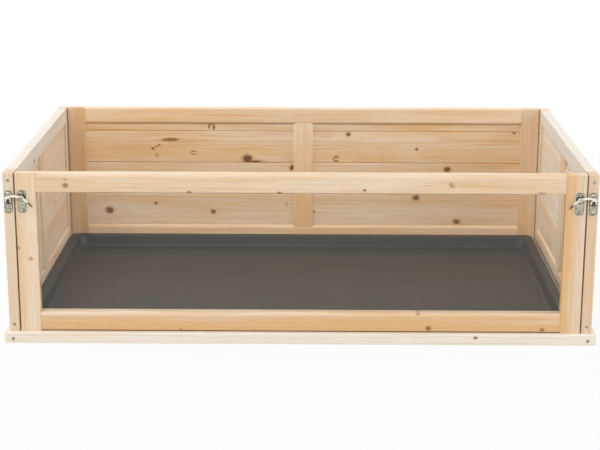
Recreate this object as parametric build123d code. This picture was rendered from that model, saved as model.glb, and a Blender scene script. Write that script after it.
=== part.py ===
from build123d import *
import os

# Guinea pig run: a wooden pen on a batten base, with a clear front that lifts out,
# two hook latches and a loose plastic tray. Millimetres, +Z up, the front faces -Y.
# The origin is on the floor, under the middle of the base.

# Overall
base_length = 1160.0
base_depth = 720.0
wall_height = 318.0
base_overhang = 8.0

# Base
batten_width = 38.0
batten_height = 22.0
batten_round = 2.0
floor_thickness = 4.0
floor_let_in = 7.0
slat_width = 38.0
slat_height = 8.0
slat_let_in = 22.0
slat_spacing = 380.0

# Frames of the walls and of the front
board_thickness = 20.0
stile_width = 40.0
rail_height = 38.0
rail_round = 8.0
arris_round = 1.5
panel_gap = 2.5
glue_play = 0.1

# Planks in the walls
plank_thickness = 10.0
plank_pitch = 75.3
first_joint_drop = 54.3
plank_groove_depth = 9.0
plank_end_play = 1.0
tongue_length = 4.0
tongue_thickness = 3.4
tongue_play = 0.2
joint_bevel = 1.4
joint_gap = 0.6

# Middle battens on the planks
middle_batten_width = 46.0
middle_batten_lap = 4.0
middle_batten_clip = 5.0
back_batten_offset = 0.5
side_batten_offset = -20.0

# Front frame
front_set_back = 2.0
front_rail_lift = 2.0
front_edge_round = 2.5
pane_thickness = 3.0
pane_play = 0.2
pane_groove_depth = 7.0
pane_edge_play = 1.0
tenon_thickness = 8.0
tenon_length = 18.0
tenon_shoulder = 5.0
dowel_diameter = 8.0
dowel_in_stile = 20.0
dowel_out = 12.0
dowel_inset = 13.0
dowel_clearance = 0.4
dowel_bevel = 1.5

# Tray
tray_side_gap = 7.0
tray_front_gap = 7.0
tray_back_gap = 3.0
tray_shift = -3.0
tray_height = 27.0
tray_sheet = 2.0
tray_rim_width = 19.0
tray_lip_drop = 8.0
tray_wall_slope = 6.0
tray_rim_corner = 14.0
tray_well_corner = 20.0
tray_rim_round = 1.6
tray_edge_round = 2.4
tray_floor_round = 7.0

# Screws
screw_play = 0.05
screw_shank = 3.4
screw_head = 7.6
screw_tip = 5.0
frame_screw_length = 60.0
frame_screw_inset = 14.0
base_screw_length = 60.0
base_screw_inset = 16.0
base_screw_height = 9.0
wall_screw_length = 45.0
wall_screw_spacing = 400.0
back_screw_spacing = 600.0
corner_screw_length = 45.0
corner_screw_inset = 60.0
slat_screw_length = 16.0
slat_screw_inset = 13.0
sunk_head = 0.5

# Latches
plate_width = 15.6
plate_length = 44.0
plate_thickness = 1.2
plate_corner = 4.0
plate_drop = 34.0
pivot_plate_inset = 13.0
plate_screw_inset = 5.0
plate_screw_shank = 2.6
plate_screw_head = 7.0
plate_screw_dome = 2.1
plate_screw_rim = 0.5
plate_screw_length = 16.0
plate_screw_tip = 3.0
pivot_drop = 47.5
hook_thickness = 1.6
hook_width = 4.6
hook_stand_off = 4.4
hook_eye = 9.6
hook_play = 0.1
stud_diameter = 5.0
stud_below_pivot = 5.5
stud_play = 0.4
stud_proud = 0.3
hook_cheek = 3.3
hook_leg = 3.0
hook_rise = 3.4
tail_out = 19.0
tail_drop = 16.0
tail_bow = 2.0
rivet_diameter = 4.0
rivet_head = 7.4
rivet_head_height = 1.3
rivet_play = 0.05

# Worked out from the sizes above
run_length = base_length - 2 * base_overhang
run_depth = base_depth - 2 * base_overhang
inner_x = run_length / 2 - board_thickness
outer_x = run_length / 2
back_inner_y = run_depth / 2 - board_thickness
front_face_y = -run_depth / 2 + front_set_back
front_inner_y = front_face_y + board_thickness
frame_length = 2 * (inner_x - panel_gap)
post_x = run_length / 2 - board_thickness / 2
plank_groove_width = plank_thickness + 2 * glue_play
plank_recess = (board_thickness - plank_thickness) / 2
floor_top = slat_height + floor_thickness
latch_plate_z = batten_height + wall_height - plate_drop - plate_length / 2
pivot_x = inner_x - panel_gap - pivot_plate_inset
pivot_z = batten_height + wall_height - pivot_drop
hook_back_y = front_face_y - plate_thickness - hook_stand_off

low = Align.MIN
mid = Align.CENTER
high = Align.MAX


def block(x0, x1, y0, y1, z0, z1):
    """A plain length of timber between two corners."""
    return Pos(x0, y0, z0) * Box(x1 - x0, y1 - y0, z1 - z0, align=(low, low, low))


def turned(points):
    """A round piece from its half outline, radius against height."""
    outline = Plane.XZ * make_face(Polyline(*points, close=True))
    return revolve(outline, Axis.Z)


def aimed(piece, point, out):
    """Puts a screw or pin with its head at point, looking along out."""
    return Plane(origin=point, z_dir=out).location * piece


# Screws. Each is drawn with its head up at z = 0, and the same shape, a little larger, is its hole.
def wood_screw(length, play=0.0):
    shank = screw_shank / 2 + play
    head = screw_head / 2 + play
    cone = head - shank
    points = [(0, 0), (head, 0), (shank, -cone), (shank, screw_tip - length), (0, -length - play)]
    return turned(points)


def plate_screw(play=0.0):
    shank = plate_screw_shank / 2 + play
    head = plate_screw_head / 2
    tip_end = (0, -plate_screw_length - play)
    tip_start = (shank, plate_screw_tip - plate_screw_length)
    if play > 0:
        return turned([(0, 0), (shank, 0), tip_start, tip_end])
    rim = (head, plate_screw_rim)
    crown = (0, plate_screw_dome)
    rise = plate_screw_dome - plate_screw_rim
    dome_radius = (head ** 2 + rise ** 2) / (2 * rise)
    outline = make_face([
        Polyline(crown, tip_end, tip_start, (shank, 0), (head, 0), rim),
        RadiusArc(rim, crown, -dome_radius),
    ])
    return revolve(Plane.XZ * outline, Axis.Z)


def drill(piece, places, length):
    """Cuts a screw hole at each place, a point and the way its head looks."""
    for point, out in places:
        piece = piece - aimed(wood_screw(length, screw_play), point, out)
    return piece


def screw_group(places, length):
    return Compound([aimed(wood_screw(length), point, out) for point, out in places])


# Where the screws are
side_frame_screws = {}
for side, x in (("left", -post_x), ("right", post_x)):
    side_frame_screws[side] = [
        ((x, end * run_depth / 2, z), (0, end, 0))
        for end in (-1, 1)
        for z in (batten_height + frame_screw_inset, batten_height + wall_height - frame_screw_inset)
    ]

base_corner_screws = [
    ((x * (base_length / 2 - base_screw_inset), y * base_depth / 2, base_screw_height), (0, y, 0))
    for x in (-1, 1)
    for y in (-1, 1)
]

back_wall_y = back_inner_y + board_thickness / 2
base_wall_screws = [
    ((x * post_x, y * wall_screw_spacing / 2, sunk_head), (0, 0, -1))
    for x in (-1, 1)
    for y in (-1, 1)
] + [((x * back_screw_spacing / 2, back_wall_y, sunk_head), (0, 0, -1)) for x in (-1, 1)]

slat_screws = [
    ((x * slat_spacing / 2, y * (base_depth / 2 - batten_width + slat_screw_inset), sunk_head), (0, 0, -1))
    for x in (-1, 1)
    for y in (-1, 1)
]

corner_screws = {}
for side, x in (("left", -1), ("right", 1)):
    corner_screws[side] = [
        ((x * outer_x, back_wall_y, batten_height + z), (x, 0, 0))
        for z in (corner_screw_inset, wall_height - corner_screw_inset)
    ]


# Base: two long battens with the short ones between them, slats let in underneath, a floor in a groove
def make_base():
    inner_edge_x = base_length / 2 - batten_width
    inner_edge_y = base_depth / 2 - batten_width
    floor_x = inner_edge_x + floor_let_in
    floor_y = inner_edge_y + floor_let_in
    floor = block(-floor_x, floor_x, -floor_y, floor_y, slat_height, floor_top)
    floor_slot = block(
        -floor_x - glue_play, floor_x + glue_play,
        -floor_y - glue_play, floor_y + glue_play,
        slat_height, floor_top + glue_play,
    )

    slats = {}
    for name, x in (("base_left_slat", -slat_spacing / 2), ("base_right_slat", slat_spacing / 2)):
        slats[name] = block(
            x - slat_width / 2, x + slat_width / 2,
            -inner_edge_y - slat_let_in, inner_edge_y + slat_let_in,
            0, slat_height,
        )

    front = block(-base_length / 2, base_length / 2, -base_depth / 2, -inner_edge_y, 0, batten_height)
    front_top_edge = front.edges().filter_by(Axis.X).sort_by(Axis.Z)[-2:].sort_by(Axis.Y)[0]
    front = fillet(front_top_edge, batten_round)
    back = mirror(front, Plane.XZ)
    for slat in slats.values():
        front = front - slat
        back = back - slat
    front = front - floor_slot
    back = back - floor_slot
    dowel_hole = Cylinder(
        dowel_diameter / 2 + dowel_clearance, dowel_out + 1, align=(mid, mid, high))
    for x, y, z in dowel_places():
        front = front - Pos(x, y, z) * dowel_hole

    right = block(inner_edge_x, base_length / 2, -inner_edge_y, inner_edge_y, 0, batten_height)
    right_top_edge = right.edges().filter_by(Axis.Y).sort_by(Axis.Z)[-2:].sort_by(Axis.X)[-1]
    right = fillet(right_top_edge, batten_round) - floor_slot
    left = mirror(right, Plane.YZ)

    pieces = {
        "base_front_batten": front,
        "base_back_batten": back,
        "base_left_batten": left,
        "base_right_batten": right,
    }
    for name in pieces:
        pieces[name] = drill(pieces[name], base_corner_screws, base_screw_length)
        pieces[name] = drill(pieces[name], base_wall_screws, wall_screw_length)
        pieces[name] = drill(pieces[name], slat_screws, slat_screw_length)
    for name in slats:
        pieces[name] = drill(slats[name], slat_screws, slat_screw_length)
    pieces["floor_panel"] = floor
    pieces["base_corner_screws"] = screw_group(base_corner_screws, base_screw_length)
    pieces["base_wall_screws"] = screw_group(base_wall_screws, wall_screw_length)
    pieces["base_slat_screws"] = screw_group(slat_screws, slat_screw_length)
    return pieces


def dowel_places():
    """Under each front stile, outside the rail's tenon, on the base's top."""
    x = frame_length / 2 - dowel_inset
    y = front_face_y + board_thickness / 2
    return [(-x, y, batten_height), (x, y, batten_height)]


# Wall frames are drawn in the wall's own frame: x along the wall from its middle,
# y from the inner face to the outer face, z from the foot.
def wall_stile(length, side, groove_width, groove_depth):
    """Upright with a groove down its inner edge; side is -1 for the low x end, 1 for the other."""
    outer_edge = side * length / 2
    section = Pos(outer_edge - side * stile_width / 2, board_thickness / 2) * Rectangle(
        stile_width, board_thickness)
    section = fillet(section.vertices(), arris_round)
    inner_edge = outer_edge - side * stile_width
    groove = Pos(inner_edge + side * groove_depth / 2, board_thickness / 2) * Rectangle(
        groove_depth, groove_width)
    return extrude(section - groove, wall_height)


def wall_rail(length, top):
    """Rail with stub tenons, a groove for the planks and its long edges rounded towards them."""
    clear = length - 2 * stile_width
    section = Pos(board_thickness / 2, rail_height / 2) * Rectangle(board_thickness, rail_height)
    corners = section.vertices().sort_by(Axis.Y)
    section = fillet(corners[-2:], rail_round)
    section = fillet(section.vertices().sort_by(Axis.Y)[:2], arris_round)
    groove = Pos(board_thickness / 2, rail_height - plank_groove_depth / 2) * Rectangle(
        plank_groove_width, plank_groove_depth)
    rail = extrude(Plane.YZ * (section - groove), clear / 2, both=True)
    tenon_reach = clear / 2 + plank_groove_depth - plank_end_play
    tenon = block(
        -tenon_reach, tenon_reach,
        plank_recess, board_thickness - plank_recess,
        0, rail_height - plank_groove_depth,
    )
    rail = rail + tenon
    if top:
        rail = Pos(0, 0, wall_height) * mirror(rail, Plane.XY)
    return rail


def plank(length, z0, z1, lowest, highest):
    """One tongue and groove plank: groove below, tongue above, open bevelled joints on both faces."""
    y0 = plank_recess
    y1 = board_thickness - plank_recess
    y_mid = board_thickness / 2
    tongue = tongue_thickness / 2
    slot = tongue + tongue_play / 2
    slot_top = z0 + tongue_length
    shoulder = z1 - joint_gap
    lower_edge = [(y0, z0), (y1, z0)]
    if not lowest:
        lower_edge = [
            (y0, z0 + joint_bevel), (y0 + joint_bevel, z0),
            (y_mid - slot, z0), (y_mid - slot, slot_top), (y_mid + slot, slot_top), (y_mid + slot, z0),
            (y1 - joint_bevel, z0), (y1, z0 + joint_bevel),
        ]
    upper_edge = [(y1, z1), (y0, z1)]
    if not highest:
        upper_edge = [
            (y1, shoulder - joint_bevel), (y1 - joint_bevel, shoulder),
            (y_mid + tongue, shoulder), (y_mid + tongue, z1 + tongue_length),
            (y_mid - tongue, z1 + tongue_length), (y_mid - tongue, shoulder),
            (y0 + joint_bevel, shoulder), (y0, shoulder - joint_bevel),
        ]
    section = make_face(Polyline(*lower_edge, *upper_edge, close=True))
    reach = length / 2 - stile_width + plank_groove_depth - plank_end_play
    return extrude(Plane.YZ * section, reach, both=True)


def plank_joints():
    """Heights of the joints between planks, from the lowest up."""
    heights = []
    z = wall_height - first_joint_drop
    while z > rail_height + plank_pitch / 4:
        heights.append(z)
        z = z - plank_pitch
    return heights[::-1]


def wall(prefix, length, batten_offset):
    """Frame, planks and middle batten of one wall, in the wall's own frame."""
    pieces = {
        prefix + "_first_stile": wall_stile(length, -1, plank_groove_width, plank_groove_depth),
        prefix + "_second_stile": wall_stile(length, 1, plank_groove_width, plank_groove_depth),
        prefix + "_top_rail": wall_rail(length, True),
        prefix + "_bottom_rail": wall_rail(length, False),
    }
    lowest = rail_height - plank_groove_depth
    highest = wall_height - rail_height + plank_groove_depth - plank_end_play
    edges = [lowest] + plank_joints() + [highest]
    for i in range(len(edges) - 1):
        pieces[prefix + "_plank_" + str(i + 1)] = plank(
            length, edges[i], edges[i + 1], i == 0, i == len(edges) - 2)

    # The batten lies on the planks, level with the frame, and laps the rails' rounded edges.
    batten_low = rail_height - middle_batten_lap
    batten_high = wall_height - batten_low
    outline = Pos(batten_offset, (batten_low + batten_high) / 2) * Rectangle(
        middle_batten_width, batten_high - batten_low)
    outline = chamfer(outline.vertices(), middle_batten_clip)
    batten = extrude(Plane.XZ * outline, -plank_recess)
    batten = batten - pieces[prefix + "_top_rail"] - pieces[prefix + "_bottom_rail"]
    pieces[prefix + "_middle_batten"] = batten
    return pieces


def make_walls():
    pieces = {}
    back = wall("back", frame_length, back_batten_offset)
    back["back_left_stile"] = back.pop("back_first_stile")
    back["back_right_stile"] = back.pop("back_second_stile")
    for name, piece in back.items():
        pieces[name] = Pos(0, back_inner_y, batten_height) * piece

    left = wall("left", run_depth, side_batten_offset)
    left["left_front_stile"] = left.pop("left_first_stile")
    left["left_back_stile"] = left.pop("left_second_stile")
    for name, piece in left.items():
        placed = Pos(-inner_x, 0, batten_height) * Rot(0, 0, 90) * piece
        pieces[name] = placed
        pieces[name.replace("left", "right")] = mirror(placed, Plane.YZ)

    for side in ("left", "right"):
        for name in ("_front_stile", "_back_stile", "_top_rail", "_bottom_rail"):
            pieces[side + name] = drill(pieces[side + name], side_frame_screws[side], frame_screw_length)
        pieces[side + "_bottom_rail"] = drill(
            pieces[side + "_bottom_rail"], base_wall_screws, wall_screw_length)
        for name in (side + "_back_stile", "back_" + side + "_stile"):
            pieces[name] = drill(pieces[name], corner_screws[side], corner_screw_length)
    pieces["back_bottom_rail"] = drill(pieces["back_bottom_rail"], base_wall_screws, wall_screw_length)
    pieces["side_frame_screws"] = screw_group(
        side_frame_screws["left"] + side_frame_screws["right"], frame_screw_length)
    pieces["corner_screws"] = screw_group(
        corner_screws["left"] + corner_screws["right"], corner_screw_length)
    return pieces


# Front: mortised frame round a clear pane. Drawn like the walls, with its outer face at high y.
def front_rail(z0, pane_edge):
    """Rail whose upper front edge is rounded; pane_edge is the height of the edge with the groove."""
    clear = frame_length - 2 * stile_width
    section = Pos(board_thickness / 2, z0 + rail_height / 2) * Rectangle(board_thickness, rail_height)
    corners = section.vertices().sort_by(Axis.Y)
    section = fillet(corners[-2:].sort_by(Axis.X)[-1], rail_round)
    section = fillet(section.vertices().sort_by(Axis.Y)[:2], front_edge_round)
    groove = Pos(board_thickness / 2, pane_edge) * Rectangle(
        pane_thickness + 2 * pane_play, 2 * pane_groove_depth)
    rail = extrude(Plane.YZ * (section - groove), clear / 2, both=True)
    return rail + rail_tenon(z0, pane_edge, tenon_length - glue_play)


def rail_tenon(z0, pane_edge, reach):
    """Both tenons of a front rail in one bar, kept off the pane's groove."""
    clear = frame_length - 2 * stile_width
    z_low = z0 + tenon_shoulder
    z_high = z0 + rail_height - tenon_shoulder
    if pane_edge > z0:
        z_high = z0 + rail_height - pane_groove_depth
    else:
        z_low = z0 + pane_groove_depth
    return block(
        -clear / 2 - reach, clear / 2 + reach,
        board_thickness / 2 - tenon_thickness / 2, board_thickness / 2 + tenon_thickness / 2,
        z_low, z_high,
    )


def make_front():
    bottom_z = front_rail_lift
    top_z = wall_height - rail_height
    bottom_edge = bottom_z + rail_height
    rails = {
        "front_bottom_rail": front_rail(bottom_z, bottom_edge),
        "front_top_rail": front_rail(top_z, top_z),
    }
    mortises = rail_tenon(bottom_z, bottom_edge, tenon_length) + rail_tenon(top_z, top_z, tenon_length)

    dowel = Pos(0, 0, -dowel_out) * Cylinder(
        dowel_diameter / 2, dowel_out + dowel_in_stile, align=(mid, mid, low))
    dowel = chamfer(dowel.edges().sort_by(Axis.Z)[0], dowel_bevel)

    front = dict(rails)
    groove_width = pane_thickness + 2 * pane_play
    front["front_right_stile"] = wall_stile(frame_length, -1, groove_width, pane_groove_depth) - mortises
    front["front_left_stile"] = wall_stile(frame_length, 1, groove_width, pane_groove_depth) - mortises
    reach = frame_length / 2 - stile_width + pane_groove_depth - pane_edge_play
    front["front_pane"] = block(
        -reach, reach,
        board_thickness / 2 - pane_thickness / 2, board_thickness / 2 + pane_thickness / 2,
        bottom_edge - pane_groove_depth, top_z + pane_groove_depth - pane_edge_play,
    )

    pieces = {}
    for name, piece in front.items():
        pieces[name] = Pos(0, front_inner_y, batten_height) * Rot(0, 0, 180) * piece
    dowels = [Pos(*place) * dowel for place in dowel_places()]
    pieces["front_left_stile"] = pieces["front_left_stile"] - dowels[0]
    pieces["front_right_stile"] = pieces["front_right_stile"] - dowels[1]
    pieces["front_dowels"] = Compound(dowels)
    return pieces


# Tray: one formed sheet with a flat rim, a turned-down lip, sloping walls and a flat floor
def tray_outline(inset, corner, z):
    """Rounded rectangle at height z, inset from the rim's outer edge."""
    length = 2 * (inner_x - tray_side_gap) - 2 * inset
    depth = back_inner_y - front_inner_y - tray_front_gap - tray_back_gap - 2 * inset
    y = (front_inner_y + tray_front_gap + back_inner_y - tray_back_gap) / 2
    return Pos(tray_shift, y, z) * RectangleRounded(length, depth, corner)


def make_tray():
    rim_top = floor_top + tray_height
    rim_under = rim_top - tray_sheet
    well_floor = floor_top + tray_sheet
    wall_inset = tray_rim_width
    floor_inset = tray_rim_width + tray_wall_slope
    rim = extrude(tray_outline(0, tray_rim_corner, rim_top), -tray_lip_drop)
    rim = rim - extrude(
        tray_outline(tray_sheet, tray_rim_corner - tray_sheet, rim_under), -tray_lip_drop)
    bowl = loft([
        tray_outline(wall_inset - tray_sheet, tray_well_corner + tray_sheet, rim_top),
        tray_outline(floor_inset - tray_sheet, tray_well_corner + tray_sheet, floor_top),
    ])
    well = loft([
        tray_outline(wall_inset, tray_well_corner, rim_top),
        tray_outline(floor_inset, tray_well_corner, well_floor),
    ])
    tray = rim + bowl - well
    floor_edges = tray.edges().filter_by_position(Axis.Z, well_floor - 0.01, well_floor + 0.01)
    tray = fillet(floor_edges, tray_floor_round)
    foot_edges = tray.edges().filter_by_position(Axis.Z, floor_top - 0.01, floor_top + 0.01)
    tray = fillet(foot_edges, tray_floor_round)
    top_edges = tray.edges().filter_by_position(Axis.Z, rim_top - 0.01, rim_top + 0.01)
    well_mouth = [e for e in top_edges if tray_reach(e) < -tray_rim_width / 2]
    tray = fillet(well_mouth, tray_edge_round)
    top_edges = tray.edges().filter_by_position(Axis.Z, rim_top - 0.01, rim_top + 0.01)
    rim_edges = [e for e in top_edges if tray_reach(e) > -tray_rim_width / 2]
    tray = fillet(rim_edges, tray_rim_round)
    return {"tray": tray}


def tray_reach(edge):
    """How far an edge's middle lies outside the rim's outer edge; negative is inside."""
    point = edge @ 0.5
    half_length = inner_x - tray_side_gap
    half_depth = (back_inner_y - front_inner_y - tray_front_gap - tray_back_gap) / 2
    y = (front_inner_y + tray_front_gap + back_inner_y - tray_back_gap) / 2
    return max(abs(point.X - tray_shift) - half_length, abs(point.Y - y) - half_depth)


# Latches: drawn for the right side and mirrored for the left
def latch_screw_places(x, face_y):
    offset = plate_length / 2 - plate_screw_inset
    return [((x, face_y - plate_thickness, latch_plate_z + s * offset), (0, -1, 0)) for s in (-1, 1)]


def latch_plate(x, face_y):
    flat = Plane(origin=(x, face_y, latch_plate_z), x_dir=(1, 0, 0), z_dir=(0, -1, 0))
    plate = extrude(flat * RectangleRounded(plate_width, plate_length, plate_corner), plate_thickness)
    for point, out in latch_screw_places(x, face_y):
        plate = plate - aimed(plate_screw(screw_play), point, out)
    return plate


def facing(x, y, z, sketch, thickness):
    """A flat shape seen from the front, its back at y."""
    return extrude(Plane(origin=(x, y, z), x_dir=(1, 0, 0), z_dir=(0, -1, 0)) * sketch, thickness)


def hook_outline():
    """Lever seen from the front about its pivot: arm outwards, hook over the stud, thumb tail inwards."""
    stud_x = post_x - pivot_x
    arm = ThreePointArc((0, 0), (stud_x / 2, hook_rise), (stud_x + stud_diameter, 0))
    tail = ThreePointArc((0, 0), (-tail_out / 2, -tail_drop / 2 + tail_bow), (-tail_out, -tail_drop))
    slot = stud_diameter / 2 + stud_play
    cheek_reach = slot + hook_cheek
    mouth = Circle(slot) + Rectangle(2 * slot, 2 * cheek_reach, align=(mid, high))
    below_legs = Pos(0, -hook_leg) * Rectangle(3 * cheek_reach, cheek_reach, align=(mid, high))
    lever = SlotArc(arm, hook_width) + SlotArc(tail, hook_width) + Circle(hook_eye / 2)
    lever = lever + Pos(stud_x, -stud_below_pivot) * Circle(cheek_reach)
    lever = lever - Pos(stud_x, -stud_below_pivot) * (mouth + below_legs)
    return lever - Circle(rivet_diameter / 2 + rivet_play)


def make_latches():
    post_face_y = -run_depth / 2
    hook_front_y = hook_back_y - hook_thickness
    right = {}

    catch = latch_plate(post_x, post_face_y)
    stud_z = pivot_z - stud_below_pivot
    stud_out = post_face_y - hook_front_y + stud_proud
    stud = facing(post_x, post_face_y, stud_z, Circle(stud_diameter / 2), stud_out)
    stud_cap = facing(post_x, post_face_y - stud_out, stud_z, Circle(rivet_head / 2), rivet_head_height)
    right["catch_plate"] = catch + stud + stud_cap

    boss = facing(pivot_x, front_face_y, pivot_z, Circle(hook_eye / 2), plate_thickness + hook_stand_off)
    bore = facing(pivot_x, front_face_y, pivot_z, Circle(rivet_diameter / 2), plate_thickness + hook_stand_off)
    right["pivot_plate"] = latch_plate(pivot_x, front_face_y) + boss - bore
    right["hook"] = facing(pivot_x, hook_back_y, pivot_z, hook_outline(), hook_thickness)
    rivet_length = plate_thickness + hook_stand_off + hook_thickness + hook_play
    rivet = facing(pivot_x, front_face_y, pivot_z, Circle(rivet_diameter / 2), rivet_length)
    cap = facing(pivot_x, front_face_y - rivet_length, pivot_z, Circle(rivet_head / 2), rivet_head_height)
    right["hook_rivet"] = rivet + cap

    pieces = {}
    for name, piece in right.items():
        pieces["right_" + name] = piece
        pieces["left_" + name] = mirror(piece, Plane.YZ)
    return pieces


def latch_screws(x, face_y):
    """Both sides' screws of one kind of plate."""
    places = latch_screw_places(-x, face_y) + latch_screw_places(x, face_y)
    return Compound([aimed(plate_screw(), point, out) for point, out in places])


def with_latch_holes(pieces):
    """Cuts the plate screws' holes in the posts and the front stiles."""
    for side, sign in (("left", -1), ("right", 1)):
        post_places = latch_screw_places(sign * post_x, -run_depth / 2)
        front_places = latch_screw_places(sign * pivot_x, front_face_y)
        for name, places in ((side + "_front_stile", post_places), ("front_" + side + "_stile", front_places)):
            for point, out in places:
                pieces[name] = pieces[name] - aimed(plate_screw(screw_play), point, out)
    return pieces


def main():
    os.makedirs("parts", exist_ok=True)
    pieces = {}
    pieces.update(make_base())
    pieces.update(make_walls())
    pieces.update(make_front())
    pieces.update(make_tray())
    pieces.update(make_latches())
    pieces = with_latch_holes(pieces)
    pieces["catch_plate_screws"] = latch_screws(post_x, -run_depth / 2)
    pieces["pivot_plate_screws"] = latch_screws(pivot_x, front_face_y)
    for name, piece in pieces.items():
        export_step(piece, os.path.join("parts", name + ".step"))
    print(len(pieces), "nodes")


main()
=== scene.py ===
import bpy
import bmesh
from math import radians
from mathutils import Matrix, Vector


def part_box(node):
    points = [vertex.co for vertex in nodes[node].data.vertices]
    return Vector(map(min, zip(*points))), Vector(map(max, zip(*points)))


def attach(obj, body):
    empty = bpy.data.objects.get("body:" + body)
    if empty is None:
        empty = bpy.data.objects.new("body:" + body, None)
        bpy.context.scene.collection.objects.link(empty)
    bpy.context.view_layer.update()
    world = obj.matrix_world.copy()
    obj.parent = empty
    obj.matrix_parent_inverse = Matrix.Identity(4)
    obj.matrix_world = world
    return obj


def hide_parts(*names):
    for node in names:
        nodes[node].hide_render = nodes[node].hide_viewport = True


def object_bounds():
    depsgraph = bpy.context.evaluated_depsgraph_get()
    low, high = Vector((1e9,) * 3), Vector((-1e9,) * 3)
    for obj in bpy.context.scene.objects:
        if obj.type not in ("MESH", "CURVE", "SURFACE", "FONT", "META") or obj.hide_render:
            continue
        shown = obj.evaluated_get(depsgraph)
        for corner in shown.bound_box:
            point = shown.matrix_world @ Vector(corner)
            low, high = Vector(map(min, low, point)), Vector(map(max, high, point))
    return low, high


# Guinea pig run: plank walls on a batten base, a clear lift-out front with hook latches, a loose tray.
# Metres, in the CAD's frame: x to the right, y to the back wall, z up.

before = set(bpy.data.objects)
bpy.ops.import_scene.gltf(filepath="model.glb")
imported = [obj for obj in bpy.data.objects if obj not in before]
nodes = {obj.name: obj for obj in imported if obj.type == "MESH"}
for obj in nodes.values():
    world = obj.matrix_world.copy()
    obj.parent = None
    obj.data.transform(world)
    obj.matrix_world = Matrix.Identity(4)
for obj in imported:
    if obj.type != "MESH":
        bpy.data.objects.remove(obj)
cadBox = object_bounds()
print("frame loaded:", len(nodes), "nodes")


# Camera, lamps and floor
cameraSetup = {
    "place": (0.0251, -3.2907, 1.0156),
    "pitch": 15.708,
    "yaw": -0.502,
    "roll": -0.133,
    "lens": 94.506,  # focal length of 1575.1 pixels on a 600 pixel frame
    "shiftY": 0.0427,
}

lampSetup = {
    "key": {"place": (-2.2, -5.6, 5.2), "aim": (0.0, 0.0, 0.1), "size": 4.4, "power": 212.0},
    "fill": {"place": (5.2, -4.6, 3.6), "aim": (0.0, 0.0, 0.15), "size": 4.0, "power": 64.0},
    "leftSide": {"place": (-3.8, -0.4, 1.7), "aim": (0.3, 0.0, 0.2), "size": 2.4, "power": 82.0},
    "rightSide": {"place": (3.8, -0.4, 1.7), "aim": (-0.3, 0.0, 0.2), "size": 2.4, "power": 76.0},
    "rear": {"place": (-1.4, 3.6, 4.6), "aim": (0.0, 0.0, 0.1), "size": 2.6, "power": 44.0},
}

roomSetup = {
    "worldLight": 0.52,
    "floorSize": 40.0,
    "floorColour": (0.74, 0.74, 0.73, 1.0),
    "shadowShare": 0.14,
    "shadowReach": (0.85, 1.9),  # the floor turns plain white between these distances
}


def addCamera(setup):
    data = bpy.data.cameras.new("photoCamera")
    camera = bpy.data.objects.new("photoCamera", data)
    bpy.context.scene.collection.objects.link(camera)
    data.sensor_width = 36.0
    data.lens = setup["lens"]
    data.shift_y = setup["shiftY"]
    data.clip_end = 100.0
    turn = Matrix.Rotation(radians(-setup["yaw"]), 3, "Z")
    turn = turn @ Matrix.Rotation(radians(90.0 - setup["pitch"]), 3, "X")
    turn = turn @ Matrix.Rotation(radians(-setup["roll"]), 3, "Z")
    camera.location = setup["place"]
    camera.rotation_euler = turn.to_euler()
    bpy.context.scene.camera = camera


def addLamp(name, setup):
    data = bpy.data.lights.new(name, "AREA")
    lamp = bpy.data.objects.new(name, data)
    bpy.context.scene.collection.objects.link(lamp)
    data.shape = "DISK"
    data.size = setup["size"]
    data.energy = setup["power"]
    lamp.location = setup["place"]
    lamp.rotation_euler = (Vector(setup["aim"]) - lamp.location).to_track_quat("-Z", "Y").to_euler()


def newMaterial(name):
    material = bpy.data.materials.new(name)
    material.use_nodes = True
    material.node_tree.nodes.clear()
    return material, material.node_tree


def node(tree, kind, **settings):
    made = tree.nodes.new(kind)
    for key, value in settings.items():
        setattr(made, key, value)
    return made


def seenByEye(tree):
    # 1 for camera, mirror and glass rays, so metal and the pane show the same white
    path = node(tree, "ShaderNodeLightPath")
    first = node(tree, "ShaderNodeMath", operation="MAXIMUM")
    second = node(tree, "ShaderNodeMath", operation="MAXIMUM")
    tree.links.new(path.outputs["Is Camera Ray"], first.inputs[0])
    tree.links.new(path.outputs["Is Glossy Ray"], first.inputs[1])
    tree.links.new(first.outputs[0], second.inputs[0])
    tree.links.new(path.outputs["Is Transmission Ray"], second.inputs[1])
    return second.outputs[0]


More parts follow.
